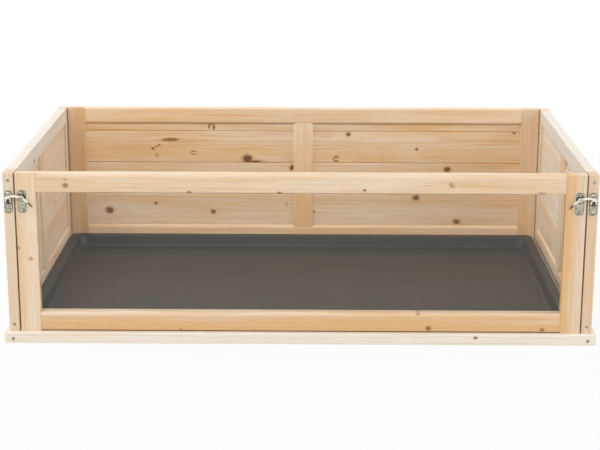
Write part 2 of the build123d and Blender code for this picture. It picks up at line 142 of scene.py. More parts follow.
def makeRoom(setup):
    world = bpy.data.worlds.new("whiteRoom")
    world.use_nodes = True
    bpy.context.scene.world = world
    tree = world.node_tree
    background = tree.nodes["Background"]
    strength = node(tree, "ShaderNodeMapRange")
    strength.inputs["To Min"].default_value = setup["worldLight"]
    strength.inputs["To Max"].default_value = 1.0
    tree.links.new(seenByEye(tree), strength.inputs["Value"])
    tree.links.new(strength.outputs["Result"], background.inputs["Strength"])
    background.inputs["Color"].default_value = (1.0, 1.0, 1.0, 1.0)

    bpy.ops.object.select_all(action="DESELECT")
    bpy.ops.mesh.primitive_plane_add(size=setup["floorSize"], location=(0.0, 0.0, 0.0))
    floor = bpy.context.object
    floor.name = "floor"
    material, tree = newMaterial("paleFloor")
    matte = node(tree, "ShaderNodeBsdfDiffuse")
    matte.inputs["Color"].default_value = setup["floorColour"]
    white = node(tree, "ShaderNodeEmission")
    white.inputs["Strength"].default_value = 1.0
    blend = node(tree, "ShaderNodeMixShader")
    away = node(tree, "ShaderNodeVectorMath", operation="LENGTH")
    tree.links.new(node(tree, "ShaderNodeTexCoord").outputs["Object"], away.inputs[0])
    whiteness = node(tree, "ShaderNodeMapRange", interpolation_type="SMOOTHSTEP")
    for key, value in zip(("From Min", "From Max", "To Min", "To Max"),
                          (*setup["shadowReach"], 1.0 - setup["shadowShare"], 1.0)):
        whiteness.inputs[key].default_value = value
    tree.links.new(away.outputs["Value"], whiteness.inputs["Value"])
    share = node(tree, "ShaderNodeMath", operation="MULTIPLY")
    tree.links.new(whiteness.outputs["Result"], share.inputs[1])
    output = node(tree, "ShaderNodeOutputMaterial")
    tree.links.new(seenByEye(tree), share.inputs[0])
    tree.links.new(share.outputs[0], blend.inputs["Fac"])
    tree.links.new(matte.outputs["BSDF"], blend.inputs[1])
    tree.links.new(white.outputs["Emission"], blend.inputs[2])
    tree.links.new(blend.outputs["Shader"], output.inputs["Surface"])
    floor.data.materials.append(material)


addCamera(cameraSetup)
for lampName, lampValues in lampSetup.items():
    addLamp(lampName + "Lamp", lampValues)
makeRoom(roomSetup)
bpy.context.scene.view_settings.view_transform = "Standard"
print("camera, lamps and floor done")


# Node groups shared by the materials
def newGroup(name, inputs, outputs):
    group = bpy.data.node_groups.new(name, "ShaderNodeTree")
    for socketName, kind, value in inputs:
        made = group.interface.new_socket(socketName, in_out="INPUT", socket_type="NodeSocket" + kind)
        if value is not None:
            made.default_value = value
    for socketName, kind in outputs:
        group.interface.new_socket(socketName, in_out="OUTPUT", socket_type="NodeSocket" + kind)
    return group, group.nodes.new("NodeGroupInput"), group.nodes.new("NodeGroupOutput")


def feed(tree, socket, value):
    # a value, or another node's output
    if isinstance(value, bpy.types.NodeSocket):
        tree.links.new(value, socket)
    elif value is not None:
        socket.default_value = value


def sums(tree, operation, a, b=None):
    made = node(tree, "ShaderNodeMath", operation=operation)
    for socket, value in zip(made.inputs, (a, b)):
        feed(tree, socket, value)
    return made.outputs[0]


def ramp(tree, value, low, high, toLow=0.0, toHigh=1.0, smooth=True):
    made = node(tree, "ShaderNodeMapRange", interpolation_type="SMOOTHSTEP" if smooth else "LINEAR")
    for key, entry in (("Value", value), ("From Min", low), ("From Max", high),
                       ("To Min", toLow), ("To Max", toHigh)):
        feed(tree, made.inputs[key], entry)
    return made.outputs["Result"]


def stretched(tree, vector, amounts):
    made = node(tree, "ShaderNodeVectorMath", operation="MULTIPLY")
    feed(tree, made.inputs[0], vector)
    made.inputs[1].default_value = amounts
    return made.outputs["Vector"]


def noise(tree, vector, scale, seed, detail=2.0, rough=0.5):
    made = node(tree, "ShaderNodeTexNoise", noise_dimensions="4D")
    feed(tree, made.inputs["Vector"], vector)
    feed(tree, made.inputs["W"], seed)
    made.inputs["Scale"].default_value = scale
    made.inputs["Detail"].default_value = detail
    made.inputs["Roughness"].default_value = rough
    return made.outputs["Fac"]


def tint(tree, share, a, b, mode="MIX"):
    made = node(tree, "ShaderNodeMix", data_type="RGBA", blend_type=mode)
    feed(tree, made.inputs["Factor"], share)
    feed(tree, made.inputs["A"], a)
    feed(tree, made.inputs["B"], b)
    return made.outputs["Result"]


def split(tree, vector):
    made = node(tree, "ShaderNodeSeparateXYZ")
    feed(tree, made.inputs[0], vector)
    return made.outputs


def joined(tree, x, y, z):
    made = node(tree, "ShaderNodeCombineXYZ")
    for socket, value in zip(made.inputs, (x, y, z)):
        feed(tree, socket, value)
    return made.outputs[0]


def hypot(tree, a, b):
    return sums(tree, "SQRT", sums(tree, "ADD", sums(tree, "MULTIPLY", a, a), sums(tree, "MULTIPLY", b, b)))


def addBump(tree, skin, height, strength, distance):
    bump = node(tree, "ShaderNodeBump")
    bump.inputs["Strength"].default_value = strength
    bump.inputs["Distance"].default_value = distance
    tree.links.new(height, bump.inputs["Height"])
    tree.links.new(bump.outputs["Normal"], skin.inputs["Normal"])


def showSkin(tree, skin):
    output = node(tree, "ShaderNodeOutputMaterial")
    tree.links.new(skin.outputs["BSDF"], output.inputs["Surface"])


# A knot's ragged edge, the reach of its heart and rim, and how far the grain bends round it
knotShape = {"ripple": (260.0, 480.0, 480.0), "ragged": 1.5, "heart": (1.05, 0.75), "rim": (1.9, 0.9),
             "bendReach": 2.3, "bend": 0.72}


def makeKnotGroup():
    # One knot through a board's thickness (y); the grain bends round it, and it adds to the knots before it.
    tree, start, end = newGroup("boardKnot", [
        ("Vector", "Vector", None), ("Heart", "Float", 0.0), ("Rim", "Float", 0.0),
        ("Place X", "Float", 0.0), ("Place Z", "Float", 0.0), ("Size", "Float", 0.004),
        ("Stretch", "Float", 1.2), ("Strength", "Float", 1.0),
    ], [("Vector", "Vector"), ("Heart", "Float"), ("Rim", "Float")])
    given = start.outputs
    x, y, z = split(tree, given["Vector"])
    drawn = stretched(tree, given["Vector"], knotShape["ripple"])
    ripple = noise(tree, drawn, 1.0, given["Place X"], 4.0, 0.6)
    alongX = sums(tree, "DIVIDE", sums(tree, "SUBTRACT", x, given["Place X"]), given["Stretch"])
    acrossZ = sums(tree, "SUBTRACT", z, given["Place Z"])
    share = sums(tree, "DIVIDE", hypot(tree, alongX, acrossZ), given["Size"])
    ragged = sums(tree, "MULTIPLY", sums(tree, "SUBTRACT", ripple, 0.5), knotShape["ragged"])
    share = sums(tree, "ADD", share, ragged)
    heart = sums(tree, "MULTIPLY", ramp(tree, share, *knotShape["heart"]), given["Strength"])
    rim = sums(tree, "MULTIPLY", ramp(tree, share, *knotShape["rim"]), given["Strength"])
    nearness = sums(tree, "DIVIDE", share, knotShape["bendReach"])
    pull = sums(tree, "MULTIPLY", sums(tree, "MULTIPLY", nearness, nearness), -1.0)
    pull = sums(tree, "MULTIPLY", sums(tree, "EXPONENT", pull), knotShape["bend"])
    pull = sums(tree, "MULTIPLY", pull, given["Strength"])
    bentZ = sums(tree, "SUBTRACT", z, sums(tree, "MULTIPLY", acrossZ, pull))
    tree.links.new(joined(tree, x, y, bentZ), end.inputs["Vector"])
    tree.links.new(sums(tree, "MAXIMUM", heart, given["Heart"]), end.inputs["Heart"])
    tree.links.new(sums(tree, "MAXIMUM", rim, given["Rim"]), end.inputs["Rim"])
    return tree


# Noises of the grain: how far each is drawn out along the fibres, its seed's step, detail and roughness
grainNoises = {
    "sway": ((2.6, 14.0, 14.0), 0.0, 2.0, 0.5),
    "wobble": ((18.0, 90.0, 90.0), 0.0, 3.0, 0.5),
    "cloud": ((2.2, 22.0, 22.0), 7.0, 2.0, 0.5),
    "patch": ((9.0, 70.0, 70.0), 3.0, 3.0, 0.5),
    "fibre": ((24.0, 620.0, 620.0), 0.0, 3.0, 0.6),
    "streak": ((5.0, 190.0, 190.0), 5.0, 3.0, 0.5),
    "fleck": ((70.0, 1500.0, 1500.0), 0.0, 2.0, 0.6),
}
# Metres that the rings sway and wobble, and shares of amber and of late wood
grainShape = {"sway": 0.016, "wobble": 0.0022, "rimWarmth": 0.30, "growthTone": 0.26, "rimTone": 0.40}


def makeGrainGroup():
    # Softwood sawn from a log: growth rings round a pith beside the board, fibres along x.
    tree, start, end = newGroup("pineGrain", [
        ("Vector", "Vector", None), ("Heart", "Float", 0.0), ("Rim", "Float", 0.0),
        ("Pith Y", "Float", 0.05), ("Pith Z", "Float", 0.0), ("Ring", "Float", 0.0045),
        ("Seed", "Float", 0.0), ("Contrast", "Float", 1.0), ("Amber", "Float", 0.3),
        ("Lean", "Float", 0.0), ("Fade", "Float", 0.0), ("Light", "Float", 1.0),
        ("Pale", "Color", (0.8, 0.6, 0.4, 1.0)), ("Warm", "Color", (0.7, 0.45, 0.25, 1.0)),
        ("Late", "Color", (0.5, 0.28, 0.14, 1.0)), ("Knot", "Color", (0.12, 0.05, 0.025, 1.0)),
    ], [("Color", "Color"), ("Roughness", "Float"), ("Height", "Float")])
    given = start.outputs
    seed = given["Seed"]
    layers = {}
    for layer, (amounts, step, detail, rough) in grainNoises.items():
        layerSeed = sums(tree, "ADD", seed, step) if step else seed
        layers[layer] = noise(tree, stretched(tree, given["Vector"], amounts), 1.0, layerSeed, detail, rough)
    x, y, z = split(tree, given["Vector"])
    fromY = sums(tree, "SUBTRACT", y, given["Pith Y"])
    fromZ = sums(tree, "SUBTRACT", z, given["Pith Z"])
    radius = hypot(tree, fromY, fromZ)
    for layer in ("sway", "wobble"):
        shift = sums(tree, "MULTIPLY", sums(tree, "SUBTRACT", layers[layer], 0.5), grainShape[layer])
        radius = sums(tree, "ADD", radius, shift)
    count = sums(tree, "DIVIDE", radius, given["Ring"])
    year = sums(tree, "FLOOR", count)
    part = sums(tree, "SUBTRACT", count, year)
    yearTone = node(tree, "ShaderNodeTexWhiteNoise", noise_dimensions="2D")
    tree.links.new(joined(tree, year, seed, 0.0), yearTone.inputs["Vector"])
    growth = sums(tree, "MULTIPLY", ramp(tree, part, 0.15, 0.88), ramp(tree, part, 1.0, 0.93))
    growth = sums(tree, "MULTIPLY", growth, ramp(tree, yearTone.outputs["Value"], 0.0, 1.0, 0.35, 1.0))
    growth = sums(tree, "MULTIPLY", growth, given["Contrast"])

    warmth = given["Amber"]
    for more in (
        ramp(tree, layers["cloud"], 0.32, 0.72, -0.26, 0.36),
        ramp(tree, layers["patch"], 0.3, 0.7, -0.14, 0.14),
        sums(tree, "MULTIPLY", z, given["Lean"]), sums(tree, "MULTIPLY", x, given["Fade"]),
        ramp(tree, layers["streak"], 0.25, 0.7, -0.16, 0.16),
        sums(tree, "MULTIPLY", given["Rim"], grainShape["rimWarmth"]),
    ):
        warmth = sums(tree, "ADD", warmth, more)
    warmth = sums(tree, "MAXIMUM", sums(tree, "MINIMUM", warmth, 1.0), 0.0)
    colour = tint(tree, warmth, given["Pale"], given["Warm"])
    late = sums(tree, "ADD", sums(tree, "MULTIPLY", growth, grainShape["growthTone"]),
                ramp(tree, layers["streak"], 0.56, 0.86, 0.0, 0.26))
    colour = tint(tree, late, colour, given["Late"])
    shade = node(tree, "ShaderNodeHueSaturation")
    tree.links.new(colour, shade.inputs["Color"])
    light = sums(tree, "ADD", ramp(tree, layers["fibre"], 0.25, 0.75, 0.94, 1.05),
                 ramp(tree, layers["fleck"], 0.2, 0.8, -0.03, 0.03))
    # the board's light factor scales the value here: partly its own tone, partly painted light
    tree.links.new(sums(tree, "MULTIPLY", light, given["Light"]), shade.inputs["Value"])
    rimTone = sums(tree, "MULTIPLY", given["Rim"], grainShape["rimTone"])
    colour = tint(tree, rimTone, shade.outputs["Color"], given["Late"])
    knotRings = noise(tree, given["Vector"], 700.0, sums(tree, "ADD", seed, 9.0), 3.0, 0.7)
    knotTone = tint(tree, ramp(tree, knotRings, 0.50, 0.76, 0.0, 0.38), given["Knot"], given["Late"])
    colour = tint(tree, sums(tree, "MINIMUM", given["Heart"], 1.0), colour, knotTone)
    tree.links.new(colour, end.inputs["Color"])

    gloss = ramp(tree, layers["fibre"], 0.3, 0.7, 0.42, 0.54)
    gloss = sums(tree, "SUBTRACT", gloss, sums(tree, "MULTIPLY", given["Heart"], 0.12))
    tree.links.new(gloss, end.inputs["Roughness"])
    height = sums(tree, "ADD", sums(tree, "MULTIPLY", layers["fibre"], 0.6),
                  sums(tree, "MULTIPLY", growth, 0.5))
    height = sums(tree, "SUBTRACT", height, sums(tree, "MULTIPLY", given["Heart"], 0.5))
    tree.links.new(height, end.inputs["Height"])
    return tree


knotGroup = makeKnotGroup()
grainGroup = makeGrainGroup()

woodTones = {
    "pale": (0.790, 0.640, 0.480, 1.0),
    "warm": (0.720, 0.440, 0.205, 1.0),
    "late": (0.500, 0.270, 0.115, 1.0),
    "knot": (0.185, 0.080, 0.028, 1.0),
    # the cream pair is partly paler wood and partly a painted sheen: on the wall tops and the right wall it
    # stands in for grazing glare
    "sheenCreamPale": (0.825, 0.765, 0.680, 1.0),
    "sheenCreamWarm": (0.780, 0.620, 0.430, 1.0),
}

woodBump = {"strength": 0.16, "distance": 0.0006}

# Turns that lay a board's own frame (x along the grain, y through its thickness) in the row's frame
grainTurns = {
    "x": (0.0, 0.0, 0.0),
    "y": (0.0, 0.0, radians(90.0)),
    "z": (0.0, radians(-90.0), 0.0),
    "zSide": (0.0, radians(-90.0), radians(90.0)),
    "xFlat": (radians(90.0), 0.0, 0.0),
    "yFlat": (radians(90.0), 0.0, radians(90.0)),
}


def boardPoint(turn, centre, point):
    # a point of the row's frame in the board's own frame
    matrix = Matrix.Rotation(turn[2], 3, "Z") @ Matrix.Rotation(turn[1], 3, "Y")
    matrix = matrix @ Matrix.Rotation(turn[0], 3, "X")
    return matrix.transposed() @ (Vector(point) - Vector(centre))


def pineMaterial(name, centre, turnName, board, knots):
    material, tree = newMaterial(name)
    turn = grainTurns[turnName]
    place = node(tree, "ShaderNodeTexCoord")
    lay = node(tree, "ShaderNodeMapping", vector_type="TEXTURE")
    lay.inputs["Location"].default_value = centre
    lay.inputs["Rotation"].default_value = turn
    tree.links.new(place.outputs["Object"], lay.inputs["Vector"])
    vector, heart, rim = lay.outputs["Vector"], None, None
    for point, size, stretch, strength in knots:
        local = boardPoint(turn, centre, point)
        knot = node(tree, "ShaderNodeGroup", node_tree=knotGroup)
        for key, value in (
            ("Vector", vector), ("Heart", heart), ("Rim", rim), ("Place X", local.x),
            ("Place Z", local.z), ("Size", size), ("Stretch", stretch), ("Strength", strength),
        ):
            feed(tree, knot.inputs[key], value)
        vector, heart, rim = knot.outputs["Vector"], knot.outputs["Heart"], knot.outputs["Rim"]
    grain = node(tree, "ShaderNodeGroup", node_tree=grainGroup)
    pale, warm = ("sheenCreamPale", "sheenCreamWarm") if board.get("cream") else ("pale", "warm")
    for key, value in (
        ("Vector", vector), ("Heart", heart), ("Rim", rim), ("Pith Y", board["pith"][0]),
        ("Pith Z", board["pith"][1]), ("Ring", board["ring"]), ("Seed", board["seed"]),
        ("Contrast", board.get("contrast", 1.0)), ("Amber", board["amber"]),
        ("Lean", board.get("lean", 0.0)), ("Fade", board.get("fade", 0.0)),
        ("Light", board.get("light", 1.0)), ("Pale", woodTones[pale]), ("Warm", woodTones[warm]),
        ("Late", woodTones["late"]), ("Knot", woodTones["knot"]),
    ):
        feed(tree, grain.inputs[key], value)
    skin = node(tree, "ShaderNodeBsdfPrincipled")
    skin.inputs["Specular IOR Level"].default_value = 0.5
    tree.links.new(grain.outputs["Color"], skin.inputs["Base Color"])
    tree.links.new(grain.outputs["Roughness"], skin.inputs["Roughness"])
    addBump(tree, skin, grain.outputs["Height"], woodBump["strength"], woodBump["distance"])
    showSkin(tree, skin)
    return material


def dress(piece, material):
    piece.data.materials.clear()
    piece.data.materials.append(material)


# Boards: lay of the grain, pith beside the board, ring width, amber share; lean and fade change the
# amber across and along the board, light its value. That light value is partly the board's own tone and
# partly painted light: the back wall's boards are lifted and the front faces and wall tops dimmed, as lit
# and shaded copies of one wood
boards = {
    "front_top_rail": {"lay": "x", "pith": (0.014, 0.060), "ring": 0.0030, "amber": 0.17, "light": 0.97},
    # the front bottom rail's lean pales its top face and rounded top edge: a painted highlight over the
    # orange wood below
    "front_bottom_rail": {"lay": "x", "pith": (0.020, -0.050), "ring": 0.0032, "amber": 0.86, "lean": -34.0,
                          "light": 0.98},
    "front_left_stile": {"lay": "z", "pith": (0.012, 0.070), "ring": 0.0030, "amber": 0.20},
    "front_right_stile": {"lay": "z", "pith": (0.010, -0.060), "ring": 0.0032, "amber": 0.54, "lean": 36.0,
                          "light": 0.98},
    "back_top_rail": {"lay": "x", "pith": (0.020, 0.064), "ring": 0.0034, "amber": 0.42, "light": 1.13},
    "back_bottom_rail": {"lay": "x", "pith": (0.020, 0.060), "ring": 0.0034, "amber": 0.38, "light": 1.12},
    "back_left_stile": {"lay": "z", "pith": (0.014, 0.070), "ring": 0.0032, "amber": 0.80, "contrast": 0.5},
    "back_right_stile": {"lay": "z", "pith": (0.012, -0.064), "ring": 0.0032, "amber": 0.60, "light": 1.05},
    "back_middle_batten": {"lay": "z", "pith": (0.010, 0.080), "ring": 0.0028, "amber": 0.95, "contrast": 0.3,
                           "light": 1.13, "fade": -3.4},
    "back_plank_1": {"lay": "x", "pith": (0.046, 0.052), "ring": 0.0036, "amber": 0.48, "light": 1.09},
    "back_plank_2": {"lay": "x", "pith": (0.040, -0.050), "ring": 0.0036, "amber": 0.56, "light": 1.10},
    "back_plank_3": {"lay": "x", "pith": (0.044, 0.030), "ring": 0.0036, "amber": 0.62, "light": 1.10},
    "back_plank_4": {"lay": "x", "pith": (0.046, 0.050), "ring": 0.0034, "amber": 0.56, "light": 1.10},
    "left_front_stile": {"lay": "zSide", "pith": (0.030, 0.018), "ring": 0.0032, "amber": 0.26,
                         "light": 0.92},
    "left_back_stile": {"lay": "zSide", "pith": (0.014, 0.052), "ring": 0.0032, "amber": 0.22},
    "left_top_rail": {"lay": "y", "pith": (0.014, 0.058), "ring": 0.0032, "amber": 0.0, "cream": True,
                      "contrast": 0.6, "light": 0.94},
    "left_bottom_rail": {"lay": "y", "pith": (0.020, 0.054), "ring": 0.0034, "amber": 0.20},
    "left_middle_batten": {"lay": "zSide", "pith": (0.010, 0.058), "ring": 0.0030, "amber": 0.20},
    "left_plank_1": {"lay": "y", "pith": (0.048, 0.040), "ring": 0.0036, "amber": 0.14},
    "left_plank_2": {"lay": "y", "pith": (0.044, -0.034), "ring": 0.0036, "amber": 0.14},
    "left_plank_3": {"lay": "y", "pith": (0.046, 0.042), "ring": 0.0034, "amber": 0.16},
    "left_plank_4": {"lay": "y", "pith": (0.050, 0.046), "ring": 0.0034, "amber": 0.14},
    "base_front_batten": {"lay": "x", "pith": (0.050, 0.040), "ring": 0.0030, "amber": 0.08, "cream": True},
    "base_back_batten": {"lay": "x", "pith": (0.046, 0.036), "ring": 0.0032, "amber": 0.10, "cream": True},
    "base_left_batten": {"lay": "y", "pith": (0.046, 0.040), "ring": 0.0030, "amber": 0.08, "cream": True},
    "base_right_batten": {"lay": "y", "pith": (0.046, 0.038), "ring": 0.0030, "amber": 0.08, "cream": True},
    "base_left_slat": {"lay": "yFlat", "pith": (0.040, 0.010), "ring": 0.0044, "amber": 0.20},
    "base_right_slat": {"lay": "yFlat", "pith": (0.036, -0.010), "ring": 0.0044, "amber": 0.24},
    "floor_panel": {"lay": "xFlat", "pith": (0.160, 0.060), "ring": 0.0100, "amber": 0.30, "contrast": 0.6},
    "front_dowels": {"lay": "z", "pith": (0.030, 0.010), "ring": 0.0036, "amber": 0.14},
}
for boardName in [name for name in boards if name.startswith("left_")]:
    boards[boardName.replace("left_", "right_")] = dict(boards[boardName])
# the right wall's upper planks take the cream pair: paler wood with a painted sheen
for boardName in ("right_plank_2", "right_plank_3", "right_plank_4"):
    boards[boardName].update({"cream": True, "amber": 0.34})
boards["right_front_stile"]["amber"] = 0.32

# Knots: point on the face, size, stretch along the grain, strength
knotPlaces = {
    "front_top_rail": [
        ((-0.452, -0.35, 0.3165), 0.0048, 1.2, 0.70), ((-0.452, -0.35, 0.3265), 0.0022, 1.8, 0.35),
        ((-0.214, -0.35, 0.3035), 0.0030, 1.6, 0.75), ((-0.040, -0.35, 0.303), 0.0026, 1.5, 0.85),
        ((0.123, -0.35, 0.309), 0.0025, 1.3, 0.95), ((0.288, -0.35, 0.322), 0.0024, 1.3, 0.60),
        ((0.291, -0.35, 0.318), 0.0026, 1.7, 0.55), ((0.462, -0.35, 0.304), 0.0034, 2.4, 0.40),
    ],
    "front_bottom_rail": [
        ((0.252, -0.35, 0.031), 0.0044, 1.2, 0.90), ((0.475, -0.35, 0.029), 0.0040, 1.2, 0.75),
        ((-0.235, -0.35, 0.026), 0.0026, 1.4, 0.50), ((0.231, -0.35, 0.060), 0.0026, 1.8, 0.4),
    ],
    "base_front_batten": [((0.344, -0.36, 0.015), 0.0030, 1.3, 0.85)],
    "front_left_stile": [
        ((-0.524, -0.35, 0.170), 0.0044, 0.8, 0.50), ((-0.5475, -0.35, 0.191), 0.0030, 1.2, 0.50),
    ],
    "back_plank_4": [
        ((-0.220, 0.337, 0.2960), 0.0050, 0.5, 0.85), ((-0.209, 0.337, 0.2950), 0.0058, 0.5, 0.95),
        ((-0.214, 0.337, 0.3000), 0.0024, 2.8, 0.80),
    ],
    "back_plank_3": [
        ((-0.310, 0.337, 0.2660), 0.0028, 7.0, 0.75), ((-0.314, 0.337, 0.2640), 0.0024, 8.0, 0.70),
        ((-0.3530, 0.337, 0.2430), 0.0026, 1.3, 0.95), ((-0.3450, 0.337, 0.2475), 0.0018, 1.4, 0.95),
        ((-0.3380, 0.337, 0.2515), 0.0022, 1.2, 0.90), ((-0.3440, 0.337, 0.2290), 0.0013, 3.2, 0.90),
        ((-0.3440, 0.337, 0.2240), 0.0012, 3.0, 0.85), ((-0.2570, 0.337, 0.2370), 0.0015, 4.0, 0.85),
        ((-0.2570, 0.337, 0.2305), 0.0014, 3.4, 0.90), ((-0.2640, 0.337, 0.2335), 0.0015, 1.3, 0.80),
        ((-0.1310, 0.337, 0.2195), 0.0092, 1.25, 1.0), ((-0.1190, 0.337, 0.2140), 0.0036, 6.0, 1.0),
        ((0.106, 0.337, 0.2790), 0.0050, 1.1, 0.95), ((0.078, 0.337, 0.2245), 0.0024, 2.4, 0.85),
        ((0.078, 0.337, 0.2155), 0.0022, 2.4, 0.90), ((0.0715, 0.337, 0.2200), 0.0026, 0.8, 0.85),
        ((0.267, 0.337, 0.2440), 0.0034, 1.1, 0.90), ((0.494, 0.337, 0.2830), 0.0026, 1.4, 0.70),
    ],
    "back_plank_2": [
        ((-0.026, 0.337, 0.1980), 0.0058, 1.0, 1.0), ((0.340, 0.337, 0.1960), 0.0064, 1.2, 0.95),
        ((0.267, 0.337, 0.1400), 0.0030, 1.4, 0.50),
    ],
    "back_plank_1": [
        ((-0.349, 0.337, 0.1110), 0.0034, 1.1, 0.90), ((-0.459, 0.337, 0.0940), 0.0078, 1.15, 1.0),
        ((-0.213, 0.337, 0.0910), 0.0050, 1.1, 0.95), ((-0.039, 0.337, 0.1125), 0.0014, 1.4, 1.0),
        ((-0.039, 0.337, 0.1065), 0.0015, 1.4, 1.0), ((0.267, 0.337, 0.1270), 0.0068, 1.2, 0.95),
        ((0.365, 0.337, 0.0690), 0.0060, 1.5, 0.95), ((0.026, 0.337, 0.0920), 0.0030, 1.2, 0.85),
    ],
    "left_top_rail": [((-0.552, -0.113, 0.311), 0.0050, 1.2, 0.90)],
    "left_plank_2": [((-0.557, 0.086, 0.179), 0.0040, 1.2, 0.8), ((-0.557, 0.145, 0.160), 0.0038, 1.2, 0.8)],
    "right_plank_4": [
        ((0.557, -0.051, 0.296), 0.0060, 0.9, 1.0), ((0.557, -0.080, 0.290), 0.0016, 9.0, 0.60),
    ],
    "right_plank_3": [((0.557, 0.120, 0.250), 0.0044, 1.3, 0.60)],
}

for order, (boardName, board) in enumerate(sorted(boards.items())):
    low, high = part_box(boardName)
    board["seed"] = 3.7 * order + 1.3
    dress(nodes[boardName], pineMaterial(boardName + "Pine", (low + high) / 2, board["lay"], board,
                                         knotPlaces.get(boardName, [])))
print("boards dressed:", len(boards))


# Tray: formed dark plastic with a fine leathery skin
traySkin = {
    "colour": (0.036, 0.035, 0.026, 1.0), "scuffColour": (0.056, 0.052, 0.042, 1.0), "specular": 0.28,
    "roughness": (0.45, 0.59), "cellScale": 1300.0, "bumpStrength": 0.003, "bumpDistance": 0.0001,
}


def makeTrayMaterial(values):
    material, tree = newMaterial("trayPlastic")
    place = node(tree, "ShaderNodeTexCoord").outputs["Object"]
    grainCells = node(tree, "ShaderNodeTexVoronoi")
    grainCells.inputs["Scale"].default_value = values["cellScale"]
    tree.links.new(place, grainCells.inputs["Vector"])
    dust = noise(tree, place, 5.0, 2.0, 5.0, 0.6)
    scuff = noise(tree, stretched(tree, place, (60.0, 9.0, 30.0)), 1.0, 5.0, 4.0, 0.65)
    wear = sums(tree, "ADD", ramp(tree, dust, 0.35, 0.75, 0.0, 0.6), ramp(tree, scuff, 0.55, 0.8, 0.0, 0.5))
    skin = node(tree, "ShaderNodeBsdfPrincipled")
    skin.inputs["Specular IOR Level"].default_value = values["specular"]
    feed(tree, skin.inputs["Base Color"], tint(tree, wear, values["colour"], values["scuffColour"]))
    feed(tree, skin.inputs["Roughness"], ramp(tree, dust, 0.3, 0.7, *values["roughness"]))
    addBump(tree, skin, grainCells.outputs["Distance"], values["bumpStrength"], values["bumpDistance"])
    showSkin(tree, skin)
    return material


dress(nodes["tray"], makeTrayMaterial(traySkin))


# Pane: clear sheet, a little dust in its gloss
paneSkin = {"colour": (0.985, 0.99, 0.99, 1.0), "ior": 1.30, "dustGloss": (0.0, 0.03)}


def makePaneMaterial(values):
    material, tree = newMaterial("clearPane")
    place = node(tree, "ShaderNodeTexCoord").outputs["Object"]
    skin = node(tree, "ShaderNodeBsdfPrincipled")
    skin.inputs["Base Color"].default_value = values["colour"]
    skin.inputs["Transmission Weight"].default_value = 1.0
    skin.inputs["IOR"].default_value = values["ior"]
    dust = noise(tree, place, 9.0, 1.0, 4.0)
    feed(tree, skin.inputs["Roughness"], ramp(tree, dust, 0.4, 0.8, *values["dustGloss"]))
    showSkin(tree, skin)
    return material


dress(nodes["front_pane"], makePaneMaterial(paneSkin))
print("tray and pane done")


# Zinc plate and screw steel share one group: random tarnish, and on the plates painted shade round pins and
# screw heads
# plate sizes, with the reach of the painted shade round each screw head and the width of the darker edge band
plateShape = {"halfWidth": 0.0078, "halfLength": 0.022, "screwReach": 0.017, "screwHead": 0.0036,
              "screwShadeReach": 0.0050, "edgeDarkeningWidth": 0.0016, "middleZ": 0.284}
metalBump = {"strength": 0.12, "distance": 0.0001}


